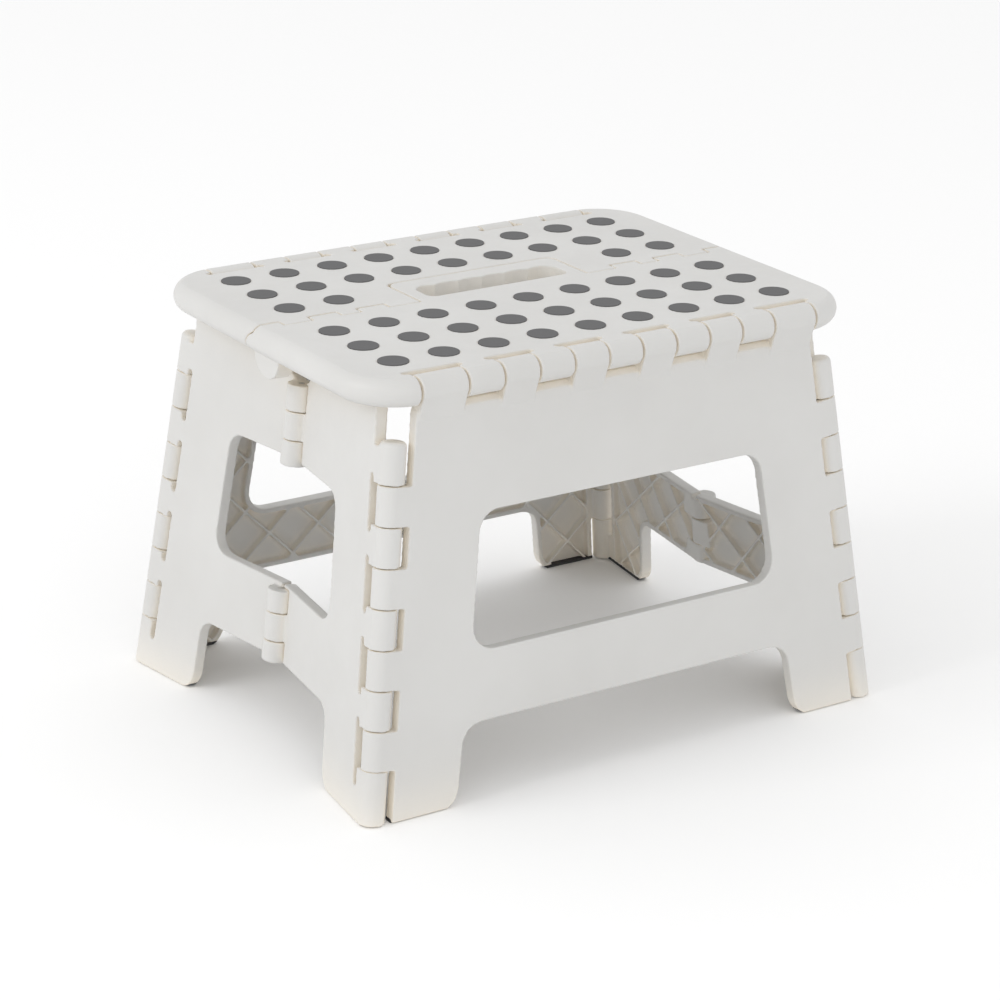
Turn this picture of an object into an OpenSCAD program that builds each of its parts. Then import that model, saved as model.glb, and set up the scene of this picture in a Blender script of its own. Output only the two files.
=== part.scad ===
// Folding step stool, moulded in eight hinged pieces. Millimetres, +Z up, origin on the
// floor under the middle of the top. The front is -Y and the right is +X.
// All the hinge lines of an end meet at one apex high above the stool, so its four
// leaning walls close flat while the two halves of the top rise about their middle hinge.

/* [Top] */
// Height of the standing surface, measured over the grip dots
height = 220; // [212:1:228]
// Length of the top along X
top_length = 294; // [290:1:300]
// Width of the top along Y
top_width = 223; // [222:1:225]
// Radius of the top's corners seen from above
top_corner = 32; // [28:1:33]
// Radius of the round edge of the top, which is also its hinge barrel
edge_r = 7.5; // [7.2:0.1:7.8]
// Thickness of the top's skin over its ribs
top_skin = 3; // [2:0.5:5]

/* [Grip dots] */
// Diameter of a grip dot
dot_d = 15.5; // [13:0.1:17]
// Distance between two dots along X
dot_pitch = 28.72; // [27:0.1:29.5]
// How far a dot stands above the top
dot_rise = 0.3; // [0.1:0.1:0.6]
// How deep a dot is let into the top
dot_depth = 1; // [0.5:0.1:1.5]

/* [Walls] */
// Thickness of every wall
wall = 6.5; // [6.2:0.1:6.6]
// Thickness of a wall's outer skin
wall_skin = 2.2; // [1.5:0.1:3]
// Width of the rim round each wall's ribs
rim = 3; // [2:0.5:4]
// Thickness of a diagonal rib
rib = 1.5; // [1.2:0.1:2.4]
// Distance between two parallel ribs
rib_pitch = 22; // [20:0.5:28]
// X of a corner hinge line on the floor
foot_x = 151.5; // [150:0.1:153]
// Y of a corner hinge line on the floor
foot_y = 118.9; // [118.5:0.1:119.3]
// Lean of a corner hinge line towards the middle along X, per mm of height
lean_x = 0.125; // [0.12:0.001:0.13]
// Lean of a corner hinge line towards the middle along Y, per mm of height
lean_y = 0.097; // [0.096:0.0005:0.098]
// X of an end's middle hinge line on the floor
mid_x = 142.8; // [142:0.1:143.5]
// Height of the walls' top edge
wall_top = 204; // [202:0.5:204]

/* [Openings] */
// Lower edge of the window in a long wall
window_low = 77; // [72:1:82]
// Upper edge of the window in a long wall
window_high = 147; // [142:1:150]
// Half width of that window at its lower edge
window_half = 93.2; // [88:0.5:95]
// Height of the arch between the legs of a long wall
arch_high = 41; // [36:1:46]
// Half width of that arch on the floor
arch_half = 106; // [104:0.5:108]
// Half width of that arch at its top
arch_top = 99.5; // [96:0.5:102]
// Lower edge of an end wall's lower bridge
bridge_low = 40.5; // [40:0.5:42]
// Upper edge of an end wall's lower bridge
bridge_high = 80.8; // [80:0.1:84]
// Lower edge of an end wall's upper bridge
end_window_high = 146.8; // [146:0.1:150]
// Width of an end wall's corner post beside the window
post_w = 50.3; // [46:0.1:52]
// Width of an end wall's leg
leg_w = 49; // [46:0.5:51]

/* [Hinges] */
// Radius of a hinge pin
pin_r = 1.5; // [1.2:0.1:1.8]
// Radius of a bore that turns on a pin
turn_r = 1.8; // [1.6:0.1:2.1]
// Gap between two knuckles
gap = 0.5; // [0.4:0.1:0.8]
// Height of the corner hinge's domed top
corner_top = 188; // [186:1:190]
// Height of the lowest knuckle of a corner hinge
corner_low = 27; // [26:1:28]
// Radius of the middle hinge barrel of an end
mid_r = 7.2; // [6.6:0.1:7.4]
// Radius of the middle hinge barrel of the top
centre_r = 8; // [7:0.1:8.5]
// Radius of the discs that close the ends of that hinge
lug_r = 12.2; // [11.5:0.1:12.6]
// Distance between two neighbouring knuckles of the hinge of a long edge
edge_pitch = 20.35; // [20:0.05:20.6]
// Half length of that hinge
edge_half = 118; // [117:0.5:118.5]

/* [Handle and feet] */
// Half length of the carrying tab
tab_half = 51; // [49:0.5:52]
// How far the tab reaches past the middle hinge
tab_reach = 34; // [32:0.5:36]
// Half length of the finger slot
slot_half = 43; // [41:0.5:46]
// Thickness of a rubber foot pad
pad = 1.6; // [1:0.1:2.5]

/* [Hidden] */
$fn = 48;
far = 400;
top_z = height - dot_rise;
edge_z = height - edge_r;
edge_y = top_width / 2 - edge_r;
centre_z = height - 2 * edge_r;
lean = atan(lean_y);
panel_cos = cos(lean);
face_y = foot_y + wall / panel_cos;
apex_z = foot_y / lean_y;
apex_x = foot_x - lean_x * apex_z;
mid_lean = (mid_x - apex_x) / apex_z;
// Distance of the long wall's edge from the corner hinge line
wall_gap = 8.2;
// Height of each repeating knuckle of a corner hinge
knuckle = 20;
// A corner barrel stands just proud of the walls, so that its round face isn't tangent to them
corner_r = wall + 0.1;
slot_r = 1.9;
slot_u = corner_r + 0.3 + slot_r;
slot_edge = slot_u + slot_r;
slot_reach = 2.5;
// The lowest slot of a corner hinge runs on below its knuckle
slot_drop = 8;
plastic = [0.86, 0.85, 0.83];
rubber = [0.37, 0.37, 0.38];
steel = [0.72, 0.72, 0.74];
dark = [0.2, 0.2, 0.21];

// Heights [low, high] of the knuckles of a corner hinge: the end wall's and the long wall's
function level(i) = corner_low + knuckle * i;
end_knuckles = [[0, level(0)], [level(1), level(2)], [level(3), level(4)],
    [level(5), level(6)], [level(7), corner_top]];
long_knuckles = [for (i = [0 : 2 : 6]) [level(i), level(i + 1)]];
// Heights of the middle hinge knuckles of an end, of its front half and of its rear half,
// whose lowest upper one is a lug under the bridge
lug_low = 144.8;
front_mid = [[52, 67.2], [158.5, 173.4]];
rear_mid = [[bridge_low, 52], [67.2, 79.6], [lug_low, 158.5], [173.4, 187.5]];
// X ranges of the top's middle hinge: the front half's tabs, its end discs, and the rear
// half's tabs between them
front_tabs = [[70, 86], [98, 114]];
lug_in = 131;
lug_out = 141;
rear_tabs = [[tab_half + 1, 70], [86, 98], [114, lug_in]];
// The bore of that hinge stops short of the discs' outer faces
centre_bore = lug_out - 2;
seam = -1.2;
seam_tab = 5;
// Gap beside the tabs and the carrying tab
tab_play = 0.9;
tab_corner = 5;
// The finger slot from its straight front edge to the finger hollows, and their arcs
slot_near = 3;
slot_back = 23;
finger_r = 18;
finger_pitch = 14.5;
// Distances of the dot rows from the middle; the inner row is whole on neither side
dot_rows = [78.6, 50.5, 22.4];
// Each notch for a knuckle is wider at its back, with round ends
hook = 1.2;
hook_r = 2;
// Room behind a knuckle in its notch
notch_play = 0.8;
// Gap between the knuckles of a long edge's hinge
edge_gap = 1.2;
// The outer skin of a wall hides its foot pad and ends just above the floor
lip = 2;
lip_gap = 0.4;

// ---------- outlines ----------
function unit(v) = v / norm(v);
function turn(v, a) = [v[0] * cos(a) - v[1] * sin(a), v[0] * sin(a) + v[1] * cos(a)];
function side(p, q, r) = (q[0] - p[0]) * (r[1] - q[1]) - (q[1] - p[1]) * (r[0] - q[0]);
function at(pts, i) = pts[(i + len(pts)) % len(pts)];

// The arc that rounds corner q between its neighbours p and s
function corner_arc(p, q, s, r, n) =
    let (a = unit(p - q), b = unit(s - q), half = acos(a * b) / 2,
        start = q + a * r / tan(half), c = q + unit(a + b) * r / sin(half),
        sweep = (side(p, q, s) > 0 ? 1 : -1) * (180 - 2 * half))
    [for (k = [0 : n]) c + turn(start - c, sweep * k / n)];

// An outline with each corner rounded by its own radius, 0 for a sharp one
function rounded(pts, radii, n = 6) =
    [for (i = [0 : len(pts) - 1])
        each radii[i] > 0 ? corner_arc(at(pts, i - 1), pts[i], at(pts, i + 1), radii[i], n)
            : [pts[i]]];

// A counterclockwise outline moved inwards by d, and the radii that go with it
function inset(pts, d) =
    [for (i = [0 : len(pts) - 1])
        let (e = unit(pts[i] - at(pts, i - 1)), f = unit(at(pts, i + 1) - pts[i]),
            m = [-e[1], e[0]], n = [-f[1], f[0]])
        pts[i] + (m + n) * d / (1 + m * n)];
function inset_radii(pts, radii, d) =
    [for (i = [0 : len(pts) - 1])
        let (left = side(at(pts, i - 1), pts[i], at(pts, i + 1)) > 0)
        radii[i] == 0 ? 0 : max(0.5, radii[i] + (left ? -d : d))];

module outline(pts, radii, d = 0) {
    polygon(rounded(inset(pts, d), inset_radii(pts, radii, d)));
}

// The square pockets between two families of diagonal ribs, over a w by h field
module rib_pockets(w, h) {
    step = rib_pitch * sqrt(2);
    for (i = [-ceil(w / step) : ceil(w / step)], j = [0 : ceil(2 * h / step)])
        translate([(i + (j % 2) / 2) * step, j * step / 2])
            rotate(45) square(rib_pitch - rib, center = true);
}

// ---------- placing ----------
module frame_at(p, x, y, z) {
    multmatrix([[x[0], y[0], z[0], p[0]], [x[1], y[1], z[1], p[1]],
        [x[2], y[2], z[2], p[2]], [0, 0, 0, 1]]) children();
}

// The left front corner: its hinge line, and the direction of the long wall's inner face
corner_foot = [-foot_x, -foot_y, 0];
corner_dir = unit([lean_x, lean_y, 1]);
along_long = unit(cross([0, panel_cos, -sin(lean)], corner_dir));
// The end wall's inner face holds the corner line, and its outer face the middle line
mid_foot = [-mid_x, 0, 0];
mid_dir = unit([mid_lean, 0, 1]);
mid_level = 175;
to_mid = mid_foot + [mid_lean, 0, 1] * mid_level - corner_foot;
to_mid_flat = to_mid - corner_dir * (to_mid * corner_dir);
end_turn = asin(wall / norm(to_mid_flat));
end_x = unit(to_mid_flat) * cos(end_turn) - cross(corner_dir, unit(to_mid_flat)) * sin(end_turn);
end_y = cross(corner_dir, end_x);

module on_corner() {
    frame_at(corner_foot, end_x, end_y, corner_dir) children();
}

module on_long_corner() {
    frame_at(corner_foot, along_long, cross(corner_dir, along_long), corner_dir) children();
}

module on_mid() {
    frame_at(mid_foot, [mid_dir[2], 0, -mid_dir[0]], [0, 1, 0], mid_dir) children();
}

module on_panel() {
    translate([0, -face_y, 0]) rotate([-lean, 0, 0]) children();
}

// Stands a flat drawing up in a wall, from depth a to depth b
module upright(a, b) {
    translate([0, b, 0]) rotate([90, 0, 0]) linear_extrude(b - a) children();
}

// Everything below height z
module below(z) {
    translate([-far / 2, -far / 2, z - far]) cube(far);
}

module in_pads() {
    intersection() {
        children();
        translate([-far / 2, -far / 2, 0]) cube([far, far, pad]);
    }
}

// A cylinder between two heights on a hinge line
module barrel(range, dir, r, play = 0) {
    translate([0, 0, range[0] / dir[2] + play])
        cylinder(h = (range[1] - range[0]) / dir[2] - 2 * play, r = r);
}

// ---------- long walls ----------
function side_x(h) = foot_x - wall_gap - lean_x * h;
function on_face(x, h) = [x, h / panel_cos];
// The walls' outlines run on below the floor, where they are cut off
sunk = -1;
long_pts = [on_face(-side_x(sunk), sunk), on_face(-arch_half, sunk), on_face(-arch_top, arch_high),
    on_face(arch_top, arch_high), on_face(arch_half, sunk), on_face(side_x(sunk), sunk),
    on_face(side_x(wall_top), wall_top), on_face(-side_x(wall_top), wall_top)];
long_radii = [0, 13, 12, 12, 13, 0, 3, 3];
function window_edge(h) = window_half - lean_x * (h - window_low);
window_pts = [on_face(-window_half, window_low), on_face(window_half, window_low),
    on_face(window_edge(window_high), window_high),
    on_face(-window_edge(window_high), window_high)];
window_radii = [12, 12, 12, 12];

module long_slab() {
    on_panel() upright(0, wall) outline(long_pts, long_radii);
}

// X range of place i along the hinge at a long wall's top edge, from -5 to 5
function edge_low(i) = i == -5 ? -edge_half : (i - 0.5) * edge_pitch;
function edge_high(i) = i == 5 ? edge_half : (i + 0.5) * edge_pitch;
wall_places = [-5, -3, -1, 1, 3, 5];

// The long wall's knuckles at every second place; the top's round edge fills the others
module edge_knuckles() {
    for (i = wall_places)
        translate([edge_low(i) + edge_gap / 2, -edge_y, edge_z]) rotate([0, 90, 0])
            cylinder(h = edge_high(i) - edge_low(i) - edge_gap, r = edge_r);
}

// Section of a tongue that carries a knuckle: it swells from the wall's face to the barrel
function face_at(z) = -face_y + lean_y * z;
swell_low = 196;
swell_foot = [face_at(swell_low) + 0.3, swell_low];
swell_way = [-edge_y, edge_z] - swell_foot;
swell_turn = asin((edge_r - 0.1) / norm(swell_way));
swell_top = swell_foot + turn(swell_way, swell_turn) * cos(swell_turn);
inner_y = face_at(edge_z) + wall / panel_cos;

module edge_necks() {
    for (i = wall_places)
        translate([edge_low(i) + edge_gap / 2, 0, 0]) rotate([90, 0, 90])
            linear_extrude(edge_high(i) - edge_low(i) - edge_gap)
                polygon([swell_foot, [inner_y - 0.3 - lean_y * (edge_z - swell_low), swell_low],
                    [inner_y - 0.3, edge_z], [-edge_y, edge_z], swell_top]);
}

// The wall's top edge is cut away at a slant under each knuckle of the top
module edge_ledges() {
    z = wall_top / panel_cos;
    for (i = [-4 : 2 : 4])
        on_panel() translate([edge_high(i - 1) - edge_gap, 0, 0]) rotate([90, 0, 90])
            linear_extrude(edge_low(i + 1) - edge_high(i - 1) + 2 * edge_gap)
                polygon([[-1, z - 4], [4.5, z + 1.5], [-1, z + 1.5]]);
}

module long_hinge_side() {
    on_long_corner() for (k = long_knuckles) {
        barrel(k, corner_dir, corner_r, gap / 2);
        translate([0, -wall, k[0] / corner_dir[2] + gap / 2])
            cube([wall_gap + 2, wall, (k[1] - k[0]) / corner_dir[2] - gap]);
    }
}

module long_wall() {
    difference() {
        union() {
            difference() {
                long_slab();
                on_panel() upright(-1, wall + 1) outline(window_pts, window_radii);
                on_panel() upright(wall_skin, wall + 1) intersection() {
                    difference() {
                        outline(long_pts, long_radii, rim);
                        outline(window_pts, window_radii, -rim);
                    }
                    rib_pockets(side_x(0), wall_top);
                }
            }
            edge_knuckles();
            edge_necks();
            long_hinge_side();
            mirror([1, 0, 0]) long_hinge_side();
        }
        edge_ledges();
        translate([-edge_half - 1, -edge_y, edge_z]) rotate([0, 90, 0])
            cylinder(h = 2 * edge_half + 2, r = pin_r);
        for (m = [0, 1]) mirror([m, 0, 0]) on_long_corner()
            barrel([corner_low - 2, corner_top], corner_dir, turn_r);
        below(lip_gap);
        intersection() {
            below(pad);
            on_panel() translate([-far / 2, lip, -far / 2]) cube(far);
        }
    }
}

// ---------- end walls ----------
// A point of the end wall, u from the corner line and at height h, in the wall's own plane
function on_end(u, h) = [u, (h - u * end_x[2]) / corner_dir[2]];
function mid_u(h) = (mid_foot + [mid_lean, 0, 1] * h - corner_foot) * end_x;
mid_edge = 1;
mid_slot = 10;
// Near the middle hinge an end wall's top edge drops to a low shoulder
mid_top = 185.5;
shoulder = 190;
// The rear half's upper bridge steps down to the lug of its lowest upper knuckle
lug_back = 8;
lug_slope = 5;
function step_pts() =
    [on_end(mid_u(end_window_high) - lug_back - lug_slope, end_window_high),
        on_end(mid_u(lug_low) - lug_back, lug_low)];
function end_pts(u, lug) = concat([on_end(u, sunk), on_end(leg_w, sunk), on_end(leg_w, bridge_low),
    on_end(mid_u(bridge_low) - mid_edge, bridge_low),
    on_end(mid_u(bridge_high) - mid_edge, bridge_high),
    on_end(post_w, bridge_high), on_end(post_w, end_window_high)],
    lug ? step_pts() : [],
    [on_end(mid_u(lug ? lug_low : end_window_high) - mid_edge, lug ? lug_low : end_window_high),
    on_end(mid_u(mid_top) - mid_edge, mid_top), on_end(mid_u(mid_top) - mid_slot, shoulder),
    on_end(mid_u(wall_top) - mid_slot, wall_top), on_end(u, wall_top)]);
function end_radii(lug) = concat([0, 12, 10, 0, 0, 10, 10], lug ? [3, 2] : [], [0, 0, 3, 3, 0]);

module end_slab(lug) {
    on_corner() upright(0, wall) outline(end_pts(0, lug), end_radii(lug));
}

// Room for the long wall's knuckles: each gets a slot with round ends beside its barrel
module corner_slots() {
    on_corner() upright(-1, wall + 1) {
        for (k = long_knuckles) {
            low = k[0] / corner_dir[2];
            high = k[1] / corner_dir[2];
            foot = low - (k[0] == corner_low ? slot_drop : slot_reach);
            translate([-10, low - gap / 2]) square([10 + slot_u, high - low + gap]);
            translate([slot_u - slot_r, foot]) square([2 * slot_r, high + slot_reach - foot]);
            for (z = [foot, high + slot_reach]) translate([slot_u, z]) circle(slot_r);
        }
        translate([-10, corner_top / corner_dir[2] - 3]) square([10 + wall_gap, far]);
    }
}

// The knuckle that closes the top of a corner hinge, with its upper edge rounded
module corner_cap() {
    cap = 2.5;
    low = level(7) / corner_dir[2] + gap / 2;
    high = corner_top / corner_dir[2];
    translate([0, 0, low]) rotate_extrude() intersection() {
        union() {
            square([corner_r - cap, high - low]);
            square([corner_r, high - low - cap]);
            translate([corner_r - cap, high - low - cap]) circle(cap);
        }
        square([corner_r + 1, high - low + 1]);
    }
}

module end_wall(own, other, lug) {
    difference() {
        union() {
            difference() {
                end_slab(lug);
                on_corner() upright(-1, wall - wall_skin) intersection() {
                    outline(end_pts(slot_edge, lug), end_radii(lug), rim);
                    rib_pockets(foot_y, wall_top);
                }
                on_mid() for (k = concat(own, other))
                    barrel(k, mid_dir, mid_r + gap + 0.4, -gap / 2);
                corner_slots();
            }
            on_corner() for (i = [0 : 3])
                barrel(end_knuckles[i], corner_dir, corner_r, i == 0 ? 0 : gap / 2);
            on_corner() corner_cap();
            for (k = own) {
                on_mid() barrel(k, mid_dir, mid_r, gap / 2);
                mid_web(k, lug);
            }
        }
        for (k = own) on_mid() barrel(k, mid_dir, pin_r, -1);
        on_corner() barrel([-2, corner_top - wall], corner_dir, pin_r);
        below(lip_gap);
        intersection() {
            below(pad);
            on_corner() translate([0, 0, -far / 2]) cube([far, wall - lip, far]);
        }
    }
}

// The web between an end wall and one of its middle knuckles
module mid_web(k, lug) {
    reach = mid_r + gap + 3;
    intersection() {
        on_mid() barrel(k, mid_dir, 3 * reach, gap / 2);
        on_corner() translate([mid_u(k[0]) - reach, 0, 0]) cube([reach, wall, far]);
        end_slab(lug);
    }
}

// ---------- top ----------
module top_slab() {
    x = top_length / 2 - top_corner;
    y = top_width / 2 - top_corner;
    translate([-x, 0, edge_z]) rotate([90, 0, 90]) linear_extrude(2 * x) union() {
        square([2 * edge_y, 2 * edge_r], center = true);
        for (s = [-1, 1]) translate([s * edge_y, 0]) circle(edge_r);
    }
    for (s = [0, 1]) mirror([s, 0, 0]) {
        translate([0, y, edge_z]) rotate([90, 0, 0]) linear_extrude(2 * y) intersection() {
            union() {
                square([top_length - 2 * edge_r, 2 * edge_r], center = true);
                translate([top_length / 2 - edge_r, 0]) circle(edge_r);
            }
            translate([x, -edge_r]) square([top_corner, 2 * edge_r]);
        }
        for (t = [0, 1]) mirror([0, t, 0]) translate([x, y, edge_z])
            rotate_extrude(angle = 90) {
                translate([0, -edge_r]) square([top_corner - edge_r, 2 * edge_r]);
                intersection() {
                    translate([top_corner - edge_r, 0]) circle(edge_r);
                    translate([top_corner - edge_r, -edge_r]) square([edge_r, 2 * edge_r]);
                }
            }
    }
}

// Plan of the carrying tab, larger by d
module tab_plan(d) {
    a = tab_half + d;
    b = tab_reach + d;
    polygon(rounded([[-a, seam - 5], [a, seam - 5], [a, b], [-a, b]],
        [0, 0, tab_corner, tab_corner]));
}

// Plan of the front half's hinge tabs, larger by d
module tabs_plan(d) {
    for (t = concat(front_tabs, [[lug_in, top_length]]), s = [0, 1]) mirror([s, 0])
        translate([t[0] - d, seam - 5])
            square([t[1] - t[0] + 2 * d, seam_tab + 5 - seam + d]);
}

module front_plan() {
    translate([-far / 2, -far / 2]) square([far, far / 2 + seam - gap / 2]);
    tab_plan(-gap / 2);
    tabs_plan(-gap / 2);
}

module rear_plan() {
    difference() {
        translate([-far / 2, seam + gap / 2]) square([far, far / 2]);
        tab_plan(tab_play);
        tabs_plan(tab_play);
    }
}

// The finger slot in the carrying tab, with a row of finger hollows along its rear edge
module finger_slot() {
    linear_extrude(far) intersection() {
        polygon(rounded([[-slot_half, slot_near], [slot_half, slot_near], [slot_half, slot_back],
            [-slot_half, slot_back]], [5, 5, 8, 8]));
        union() {
            for (i = [-2.5 : 2.5])
                translate([i * finger_pitch, slot_back - finger_r]) circle(finger_r);
            translate([-slot_half, 0]) square([2 * slot_half, slot_back - 4]);
        }
    }
}

// Knuckles of the middle hinge on both sides of the middle
module centre_knuckles(tabs, r, play) {
    for (t = tabs, s = [0, 1]) mirror([s, 0, 0])
        translate([t[0] + play, 0, centre_z]) rotate([0, 90, 0])
            cylinder(h = t[1] - t[0] - 2 * play, r = r);
}

// The discs on both ends of the middle hinge: a plain disc below, and the round edge above it
module end_lugs() {
    intersection() {
        lug_round(lug_in + gap / 2, lug_r);
        union() {
            top_slab();
            translate([0, 0, centre_z - lug_r]) cube([2 * lug_out, 3 * lug_r, 4 * lug_r], center = true);
        }
    }
}

module lug_round(from, r) {
    for (s = [0, 1]) mirror([s, 0, 0]) translate([from, 0, centre_z]) rotate([0, 90, 0])
        cylinder(h = top_length / 2 + 1 - from, r = r);
}

module edge_notches() {
    back = edge_y - edge_r - notch_play;
    for (i = wall_places) {
        low = edge_low(i) - edge_gap / 2;
        high = edge_high(i) + edge_gap / 2;
        translate([0, 0, centre_z - 1]) linear_extrude(2 * edge_r + 2) {
            translate([low, -far / 2]) square([high - low, far / 2 - back]);
            translate([low - hook, -back - 2 * hook_r]) square([high - low + 2 * hook, 2 * hook_r]);
            for (x = [low - hook, high + hook]) translate([x, -back - hook_r]) circle(hook_r);
        }
    }
}

// Half of the ribbed underside, between two distances from the middle
module top_pockets(near, out) {
    half = top_length / 2 - edge_r - 1;
    translate([0, 0, centre_z - 1]) linear_extrude(top_z - top_skin - centre_z + 1)
        intersection() {
            polygon(rounded([[-half, -out], [half, -out], [half, -near], [-half, -near]],
                [8, 8, 1, 1]));
            translate([0, -top_width / 2]) rib_pockets(half, top_width / 2);
        }
}

// Dot centres of the front half: the inner row keeps all its columns on the front half only
module dot_places(front) {
    for (r = [0 : 2], i = [-4 : 4])
        if (front || r < 2 || abs(i) > 2)
            translate([i * dot_pitch, (front ? -1 : 1) * dot_rows[r], 0]) children();
}

module dot_holes(front) {
    dot_places(front) translate([0, 0, top_z - dot_depth])
        cylinder(h = dot_depth + 2, d = dot_d + 0.1);
}

module top_half(front) {
    mine = front ? front_tabs : rear_tabs;
    others = front ? rear_tabs : front_tabs;
    difference() {
        union() {
            difference() {
                intersection() {
                    top_slab();
                    translate([0, 0, centre_z - 2]) linear_extrude(far) {
                        if (front) front_plan();
                        else rear_plan();
                    }
                }
                mirror([0, front ? 0 : 1, 0]) {
                    edge_notches();
                    top_pockets(front ? 14 : 38, edge_y - edge_r - 4);
                }
                centre_knuckles(others, centre_r + gap, -gap / 2);
                if (!front) lug_round(lug_in - gap / 2, lug_r + gap);
                translate([-far / 2, -far / 2, top_z]) cube(far);
            }
            centre_knuckles(mine, centre_r, gap / 2);
            if (front) end_lugs();
        }
        dot_holes(front);
        if (front) translate([0, 0, centre_z - 2]) finger_slot();
        translate([-centre_bore, 0, centre_z]) rotate([0, 90, 0])
            cylinder(h = 2 * centre_bore, r = front ? pin_r : turn_r);
        mirror([0, front ? 0 : 1, 0]) translate([-edge_half - 1, -edge_y, edge_z])
            rotate([0, 90, 0]) cylinder(h = 2 * edge_half + 2, r = turn_r);
    }
}

module grip_dots(front) {
    dot_places(front) translate([0, 0, top_z - dot_depth]) cylinder(h = dot_depth + dot_rise, d = dot_d);
}

// ---------- pins ----------
module edge_pin() {
    translate([-edge_half + 1, -edge_y, edge_z]) rotate([0, 90, 0])
        cylinder(h = 2 * edge_half - 2, r = pin_r);
}

module centre_pin() {
    translate([-centre_bore + 0.5, 0, centre_z]) rotate([0, 90, 0])
        cylinder(h = centre_bore - tab_half - 2, r = pin_r);
}

module corner_pin() {
    on_corner() barrel([8, corner_top - wall], corner_dir, pin_r, 0.2);
}

module end_pins(knuckles) {
    on_mid() for (k = knuckles) barrel(k, mid_dir, pin_r, gap / 2);
}

// ---------- feet ----------
module long_foot() {
    in_pads() intersection() {
        on_panel() upright(lip, wall) outline(long_pts, long_radii);
        translate([-far, -far, -1]) cube([far, far, 20]);
    }
}

module end_foot() {
    in_pads() on_corner() upright(0, wall - lip) outline(end_pts(0, false), end_radii(false));
}

// ---------- pieces ----------
module front_panel() { color(plastic) long_wall(); }
module rear_panel() { color(plastic) mirror([0, 1, 0]) long_wall(); }
module top_front() { color(plastic) top_half(true); }
module top_rear() { color(plastic) top_half(false); }
module left_front_end() { color(plastic) end_wall(front_mid, rear_mid, false); }
module left_rear_end() { color(plastic) mirror([0, 1, 0]) end_wall(rear_mid, front_mid, true); }
module right_front_end() { color(plastic) mirror([1, 0, 0]) end_wall(front_mid, rear_mid, false); }
module right_rear_end() {
    color(plastic) mirror([1, 0, 0]) mirror([0, 1, 0]) end_wall(rear_mid, front_mid, true);
}
module front_grip_dots() { color(rubber) grip_dots(true); }
module rear_grip_dots() { color(rubber) grip_dots(false); }
module front_top_pin() { color(steel) edge_pin(); }
module rear_top_pin() { color(steel) mirror([0, 1, 0]) edge_pin(); }
module centre_pin_left() { color(steel) centre_pin(); }
module centre_pin_right() { color(steel) mirror([1, 0, 0]) centre_pin(); }
module front_left_corner_pin() { color(steel) corner_pin(); }
module front_right_corner_pin() { color(steel) mirror([1, 0, 0]) corner_pin(); }
module rear_left_corner_pin() { color(steel) mirror([0, 1, 0]) corner_pin(); }
module rear_right_corner_pin() { color(steel) mirror([1, 0, 0]) mirror([0, 1, 0]) corner_pin(); }
module left_upper_end_pins() { color(steel) end_pins([rear_mid[2], rear_mid[3]]); }
module left_lower_end_pins() { color(steel) end_pins([rear_mid[0], rear_mid[1]]); }
module right_upper_end_pins() { color(steel) mirror([1, 0, 0]) end_pins([rear_mid[2], rear_mid[3]]); }
module right_lower_end_pins() { color(steel) mirror([1, 0, 0]) end_pins([rear_mid[0], rear_mid[1]]); }
module front_left_foot() { color(dark) long_foot(); }
module front_right_foot() { color(dark) mirror([1, 0, 0]) long_foot(); }
module rear_left_foot() { color(dark) mirror([0, 1, 0]) long_foot(); }
module rear_right_foot() { color(dark) mirror([1, 0, 0]) mirror([0, 1, 0]) long_foot(); }
module left_front_foot() { color(dark) end_foot(); }
module left_rear_foot() { color(dark) mirror([0, 1, 0]) end_foot(); }
module right_front_foot() { color(dark) mirror([1, 0, 0]) end_foot(); }
module right_rear_foot() { color(dark) mirror([1, 0, 0]) mirror([0, 1, 0]) end_foot(); }

front_panel();
rear_panel();
top_front();
top_rear();
left_front_end();
left_rear_end();
right_front_end();
right_rear_end();
front_grip_dots();
rear_grip_dots();
front_top_pin();
rear_top_pin();
centre_pin_left();
centre_pin_right();
front_left_corner_pin();
front_right_corner_pin();
rear_left_corner_pin();
rear_right_corner_pin();
left_upper_end_pins();
left_lower_end_pins();
right_upper_end_pins();
right_lower_end_pins();
front_left_foot();
front_right_foot();
rear_left_foot();
rear_right_foot();
left_front_foot();
left_rear_foot();
right_front_foot();
right_rear_foot();
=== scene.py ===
"""A folding step stool of hinged plastic mouldings with soft grip dots.

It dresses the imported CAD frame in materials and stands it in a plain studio."""
import math

import bpy
from mathutils import Matrix, Vector

MM = 0.001

# How finely the mouldings are recast, and the share of their faces that is kept.
CAST_GRAIN = 0.6 * MM
FACES_KEPT = 0.2

# Tones and gloss of the materials, each as the two ends of its mottling.
PLASTIC_OPEN = ((0.60, 0.594, 0.578), (0.635, 0.63, 0.615))
# The lighter, warmer tone of sheltered faces is painted light: a painted glow of light through the
# plastic.
PLASTIC_PAINTED_GLOW = (0.88, 0.82, 0.72)
PLASTIC_GLOSS = (0.40, 0.56)
DOT_TONES = ((0.095, 0.095, 0.097), (0.115, 0.115, 0.117))
FOOT_TONES = ((0.03, 0.03, 0.032), (0.055, 0.055, 0.057))
RUBBER_GLOSS = (0.6, 0.78)
STEEL_TONES = ((0.50, 0.49, 0.47), (0.66, 0.65, 0.63))
STEEL_GLOSS = (0.24, 0.42)
FLOOR_TONE = 0.965

# How far around it a face looks for shelter, for the painted glow in its hollows.
PAINTED_GLOW_REACH = 45 * MM

# Grains per metre of the two rubbers.
DOT_GRAIN = 2600.0
FOOT_GRAIN = 1800.0

# The studio: a floor, a white surround and two lamps, each (place, size, power).
FLOOR_HALF = 15
SURROUND = 0.95
KEY = ((-2.3, 0.2, 1.5), 1.2, 15)
FILL = ((-0.6, -2.2, 0.8), 2.0, 5)
LAMPS_AIM = Vector((0, 0, 0.1))

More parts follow.
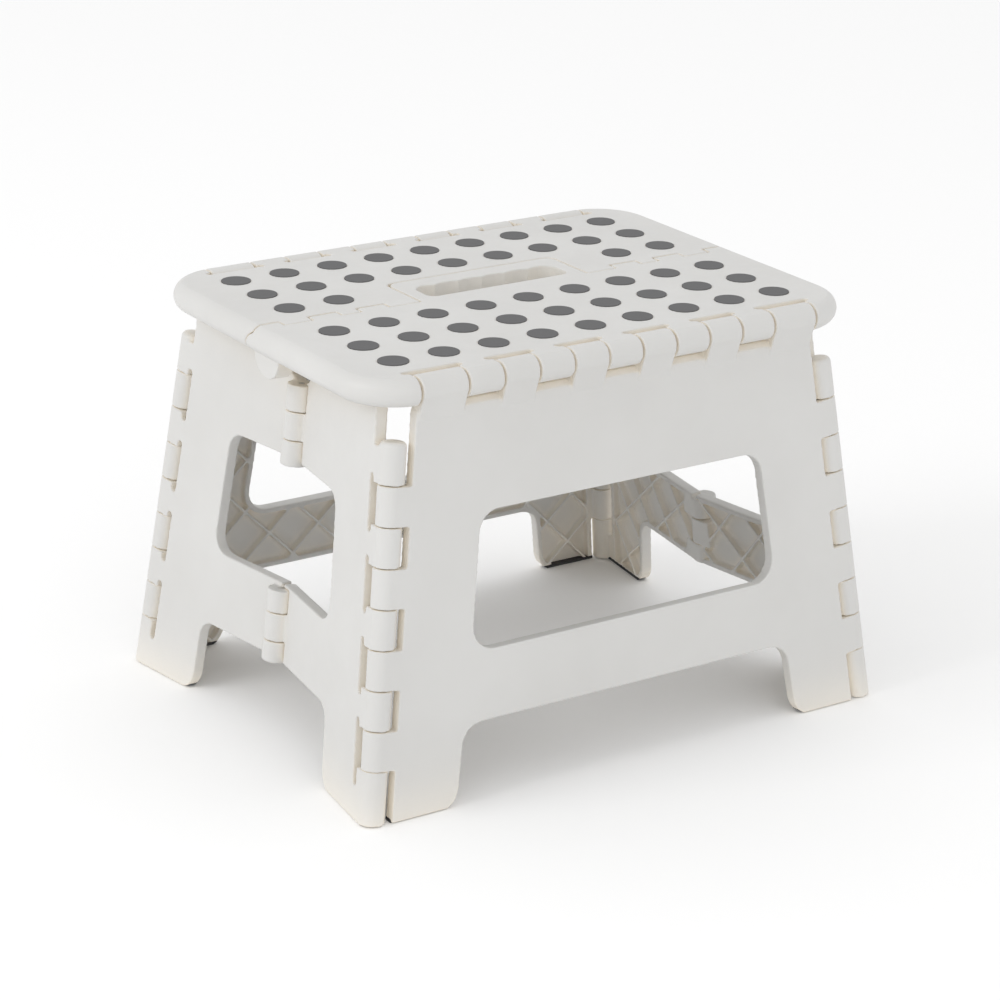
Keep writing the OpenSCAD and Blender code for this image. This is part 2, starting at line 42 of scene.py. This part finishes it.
# The camera: its turn about the stool, height angle and roll in degrees, place and lens.
AZIMUTH, ELEVATION, ROLL = -33.252, 20.300, 0.800
CAMERA_AT = Vector((-0.8745, -1.3323, 0.6912))
LENS = 115.36
SENSOR = 36

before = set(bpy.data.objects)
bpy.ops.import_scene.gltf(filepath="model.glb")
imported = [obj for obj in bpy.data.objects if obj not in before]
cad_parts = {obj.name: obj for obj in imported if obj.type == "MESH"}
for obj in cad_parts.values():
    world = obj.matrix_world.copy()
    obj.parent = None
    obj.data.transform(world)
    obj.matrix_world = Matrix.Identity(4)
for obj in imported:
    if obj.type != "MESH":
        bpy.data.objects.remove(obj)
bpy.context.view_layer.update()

MOULDINGS = ["front_panel", "rear_panel", "top_front", "top_rear",
             "left_front_end", "left_rear_end", "right_front_end", "right_rear_end"]
PINS = [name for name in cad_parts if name.endswith(("_pin", "_pins")) or "_pin_" in name]
FEET = [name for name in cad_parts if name.endswith("_foot")]
DOTS = ["front_grip_dots", "rear_grip_dots"]


# ---------- materials ----------
def new_material(name):
    """An empty node material: returns it with its shader and a helper that adds a node."""
    material = bpy.data.materials.new(name)
    material.use_nodes = True
    tree = material.node_tree
    shader = tree.nodes["Principled BSDF"]

    def add(kind, **inputs):
        node = tree.nodes.new(kind)
        for key, value in inputs.items():
            node.inputs[key.replace("_", " ")].default_value = value
        return node

    return material, tree, shader, add


def ramp(add, tree, source, low, high, at_low=0.0, at_high=1.0):
    """Maps a factor onto two colours, or onto two greys given as numbers."""
    node = add("ShaderNodeValToRGB")
    stops = node.color_ramp.elements
    stops[0].position, stops[1].position = at_low, at_high
    for stop, value in zip(stops, (low, high)):
        stop.color = (*value, 1) if isinstance(value, tuple) else (value, value, value, 1)
    tree.links.new(source, node.inputs["Fac"])
    return node.outputs["Color"]


def moulded_plastic():
    """Satin off-white polypropylene: soft mottling, faint scuffs, a fine spark-eroded grain.

    Sheltered faces are painted a lighter, warmer tone: painted light, a glow of light passing
    through the plastic into its hollows."""
    material, tree, shader, add = new_material("body_plastic")
    link = tree.links.new
    place = add("ShaderNodeTexCoord").outputs["Object"]
    mottle = add("ShaderNodeTexNoise", Scale=14.0, Detail=4.0, Roughness=0.55)
    link(place, mottle.inputs["Vector"])
    open_tone = ramp(add, tree, mottle.outputs["Fac"], *PLASTIC_OPEN, 0.3, 0.7)
    # Painted light: the less open a face, the more its tone turns to the lighter, warmer painted
    # glow.
    painted_glow_mask = add("ShaderNodeAmbientOcclusion", Distance=PAINTED_GLOW_REACH)
    painted_glow_mask.samples = 6
    mix = add("ShaderNodeMix")
    mix.data_type = "RGBA"
    share, first_tone, second_tone, mixed = (mix.inputs[0], mix.inputs[6], mix.inputs[7],
                                             mix.outputs[2])
    link(ramp(add, tree, painted_glow_mask.outputs["AO"], 1.0, 0.0, 0.25, 0.85), share)
    link(open_tone, first_tone)
    second_tone.default_value = (*PLASTIC_PAINTED_GLOW, 1)
    link(mixed, shader.inputs["Base Color"])
    scuff = add("ShaderNodeTexNoise", Scale=85.0, Detail=6.0, Roughness=0.7)
    link(place, scuff.inputs["Vector"])
    link(ramp(add, tree, scuff.outputs["Fac"], *PLASTIC_GLOSS, 0.35, 0.7),
         shader.inputs["Roughness"])
    grain = add("ShaderNodeTexNoise", Scale=1900.0, Detail=2.0, Roughness=0.6)
    link(place, grain.inputs["Vector"])
    sink = add("ShaderNodeTexNoise", Scale=30.0, Detail=2.0, Roughness=0.5)
    link(place, sink.inputs["Vector"])
    fine = add("ShaderNodeBump", Strength=0.25, Distance=0.04 * MM)
    link(grain.outputs["Fac"], fine.inputs["Height"])
    broad = add("ShaderNodeBump", Strength=0.3, Distance=0.35 * MM)
    link(sink.outputs["Fac"], broad.inputs["Height"])
    link(fine.outputs["Normal"], broad.inputs["Normal"])
    link(broad.outputs["Normal"], shader.inputs["Normal"])
    shader.inputs["IOR"].default_value = 1.49
    shader.inputs["Subsurface Weight"].default_value = 0.06
    shader.inputs["Subsurface Radius"].default_value = (1.0, 0.9, 0.75)
    shader.inputs["Subsurface Scale"].default_value = 1.5 * MM
    return material


def soft_rubber(name, tones, grain_scale):
    """Matt thermoplastic rubber with a fine grain and dusty patches."""
    material, tree, shader, add = new_material(name)
    link = tree.links.new
    place = add("ShaderNodeTexCoord").outputs["Object"]
    dust = add("ShaderNodeTexNoise", Scale=120.0, Detail=5.0, Roughness=0.6)
    link(place, dust.inputs["Vector"])
    link(ramp(add, tree, dust.outputs["Fac"], *tones, 0.35, 0.7), shader.inputs["Base Color"])
    link(ramp(add, tree, dust.outputs["Fac"], *RUBBER_GLOSS, 0.3, 0.7),
         shader.inputs["Roughness"])
    grain = add("ShaderNodeTexNoise", Scale=grain_scale, Detail=3.0, Roughness=0.6)
    link(place, grain.inputs["Vector"])
    bump = add("ShaderNodeBump", Strength=0.4, Distance=0.05 * MM)
    link(grain.outputs["Fac"], bump.inputs["Height"])
    link(bump.outputs["Normal"], shader.inputs["Normal"])
    shader.inputs["IOR"].default_value = 1.5
    return material


def pin_steel():
    """Drawn steel wire: lengthwise streaks and a little dulling."""
    material, tree, shader, add = new_material("hinge_pin")
    link = tree.links.new
    place = add("ShaderNodeTexCoord").outputs["Object"]
    streaks = add("ShaderNodeTexNoise", Scale=700.0, Detail=4.0, Roughness=0.6)
    link(place, streaks.inputs["Vector"])
    link(ramp(add, tree, streaks.outputs["Fac"], *STEEL_TONES, 0.3, 0.7),
         shader.inputs["Base Color"])
    link(ramp(add, tree, streaks.outputs["Fac"], *STEEL_GLOSS, 0.3, 0.7),
         shader.inputs["Roughness"])
    bump = add("ShaderNodeBump", Strength=0.3, Distance=0.03 * MM)
    link(streaks.outputs["Fac"], bump.inputs["Height"])
    link(bump.outputs["Normal"], shader.inputs["Normal"])
    shader.inputs["Metallic"].default_value = 1.0
    return material


def floor_paint():
    """The studio floor: pale, even and matt."""
    material, _, shader, _ = new_material("studio_floor")
    shader.inputs["Base Color"].default_value = (FLOOR_TONE, FLOOR_TONE, FLOOR_TONE, 1)
    shader.inputs["Roughness"].default_value = 0.9
    shader.inputs["Specular IOR Level"].default_value = 0.1
    return material


def paint(obj, material):
    obj.data.materials.clear()
    obj.data.materials.append(material)


# ---------- edges ----------
def soften(obj):
    """Rounds a moulding's crisp CAD edges and fillets its inside corners, as a mould does."""
    cast = obj.modifiers.new("cast", "REMESH")
    cast.mode = "VOXEL"
    cast.voxel_size = CAST_GRAIN
    cast.use_smooth_shade = True
    melt = obj.modifiers.new("melt", "SMOOTH")
    melt.factor = 0.5
    melt.iterations = 3
    thin = obj.modifiers.new("thin", "DECIMATE")
    thin.ratio = FACES_KEPT
    normals = obj.modifiers.new("normals", "WEIGHTED_NORMAL")
    normals.keep_sharp = False


# ---------- studio ----------
def camera():
    a, e, r = (math.radians(v) for v in (AZIMUTH, ELEVATION, ROLL))
    back = Vector((math.sin(a) * math.cos(e), -math.cos(a) * math.cos(e), math.sin(e)))
    level = Vector((math.cos(a), math.sin(a), 0))
    up = back.cross(level)
    right = level * math.cos(r) + up * math.sin(r)
    up = back.cross(right)
    data = bpy.data.cameras.new("camera")
    data.lens = LENS
    data.sensor_width = SENSOR
    data.clip_start = 0.05
    obj = bpy.data.objects.new("camera", data)
    obj.matrix_world = Matrix((right, up, back)).transposed().to_4x4()
    obj.matrix_world.translation = CAMERA_AT
    bpy.context.scene.collection.objects.link(obj)
    bpy.context.scene.camera = obj


def area_light(name, place, size, power):
    data = bpy.data.lights.new(name, "AREA")
    data.energy = power
    data.size = size
    obj = bpy.data.objects.new(name, data)
    obj.location = place
    aim = LAMPS_AIM - Vector(place)
    obj.rotation_euler = aim.to_track_quat("-Z", "Y").to_euler()
    bpy.context.scene.collection.objects.link(obj)


def studio(floor_material):
    mesh = bpy.data.meshes.new("floor")
    corners = [(x * FLOOR_HALF, y * FLOOR_HALF, 0) for x, y in ((-1, -1), (1, -1), (1, 1), (-1, 1))]
    mesh.from_pydata(corners, [], [(0, 1, 2, 3)])
    floor = bpy.data.objects.new("floor", mesh)
    bpy.context.scene.collection.objects.link(floor)
    paint(floor, floor_material)
    world = bpy.data.worlds.new("studio")
    world.use_nodes = True
    background = world.node_tree.nodes["Background"]
    background.inputs["Color"].default_value = (1, 1, 1, 1)
    background.inputs["Strength"].default_value = SURROUND
    bpy.context.scene.world = world
    area_light("key", *KEY)
    area_light("fill", *FILL)


# ---------- the stool ----------
plastic = moulded_plastic()
dot_rubber = soft_rubber("grip_rubber", DOT_TONES, DOT_GRAIN)
foot_rubber = soft_rubber("foot_rubber", FOOT_TONES, FOOT_GRAIN)
steel = pin_steel()

for name in MOULDINGS:
    paint(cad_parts[name], plastic)
    soften(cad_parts[name])
for name in DOTS:
    paint(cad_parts[name], dot_rubber)
for name in FEET:
    paint(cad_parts[name], foot_rubber)
for name in PINS:
    paint(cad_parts[name], steel)

camera()
studio(floor_paint())
bpy.context.scene.view_settings.view_transform = "Standard"
